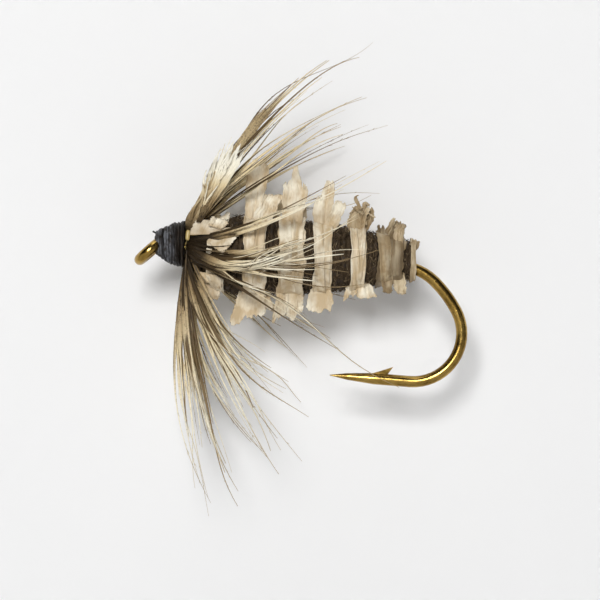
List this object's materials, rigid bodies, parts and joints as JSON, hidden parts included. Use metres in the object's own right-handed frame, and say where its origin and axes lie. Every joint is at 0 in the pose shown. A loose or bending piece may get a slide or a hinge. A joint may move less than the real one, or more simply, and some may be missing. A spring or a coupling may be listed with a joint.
{
  "type": "artificial fly",
  "caption": "Soft-hackled fishing fly on a barbed down-eye hook, with dark herl, trimmed cream strips, a barred feather hackle and a black thread head.",
  "frame": {"origin": "centre of the hook's eye", "axes": "+X from the eye along the shank to the bend, +Z from the point's side to the back, +Y away from the near side"},
  "size_m": [0.0169, 0.0076, 0.024],
  "materials": {
    "bronzed_wire": "polished bronzed steel wire",
    "black_thread": "waxed black tying thread",
    "padding_wool": "packed wool, hidden",
    "dark_herl": "fuzzy dark brown herl",
    "cream_strip": "dry cream fibrous strip, trimmed",
    "tan_strip": "dry tan fibrous strip, trimmed",
    "quill": "pale feather quill",
    "barred_hackle": "soft barbs barred brown and cream",
    "pale_hackle": "downy pale barbs",
    "speckled_hackle": "dark speckled barbs, still joined"
  },
  "bodies": {
    "dressed_hook": {"hook": "bronzed_wire", "padding": "padding_wool", "quill_stem": "quill", "quill_butt": "quill", "herl_collar": "dark_herl", "herl_band_1": "dark_herl", "herl_band_2": "dark_herl", "herl_band_3": "dark_herl", "herl_band_4": "dark_herl", "herl_band_5": "dark_herl", "rear_wrap": "dark_herl", "flap_upper": "cream_strip", "flap_lower": "cream_strip", "strip_1": "cream_strip", "strip_2": "cream_strip", "strip_3": "cream_strip", "strip_4": "cream_strip", "cross_strip": "cream_strip", "back_strip": "cream_strip", "strip_5": "tan_strip", "tail_strip": "tan_strip", "crumpled_strip": "tan_strip", "thread_base": "black_thread", "head_thread": "black_thread", "knot_thread": "black_thread", "thread_tag": "black_thread"},
    "upper_hackle": {"hackle_crown": "barred_hackle", "hackle_crown_inner": "barred_hackle", "hackle_plume": "pale_hackle", "hackle_speckled": "speckled_hackle"},
    "near_hackle": {"hackle_near_upper": "barred_hackle", "hackle_near_lower": "barred_hackle"},
    "far_hackle": {"hackle_far_upper": "barred_hackle", "hackle_far_lower": "barred_hackle"},
    "lower_hackle": {"hackle_throat_front": "barred_hackle", "hackle_throat_rear": "barred_hackle"}
  },
  "joints": [
    {"name": "upper_hackle_flex", "type": "hinge", "parent": "dressed_hook", "child": "upper_hackle", "pos_m": [0.00202, 0, 0.0012], "axis": [0, 1, 0], "range_deg": [-22, 6], "stiffness_Nm_per_rad": 0.000001},
    {"name": "lower_hackle_flex", "type": "hinge", "parent": "dressed_hook", "child": "lower_hackle", "pos_m": [0.00202, 0, -0.0006], "axis": [0, 1, 0], "range_deg": [-8, 24], "stiffness_Nm_per_rad": 0.000001},
    {"name": "near_hackle_flex", "type": "hinge", "parent": "dressed_hook", "child": "near_hackle", "pos_m": [0.00202, -0.0009, 0], "axis": [0, 0, 1], "range_deg": [-26, 0], "stiffness_Nm_per_rad": 0.000001},
    {"name": "far_hackle_flex", "type": "hinge", "parent": "dressed_hook", "child": "far_hackle", "pos_m": [0.00202, 0.0009, 0], "axis": [0, 0, 1], "range_deg": [0, 26], "stiffness_Nm_per_rad": 0.000001}
  ]
}
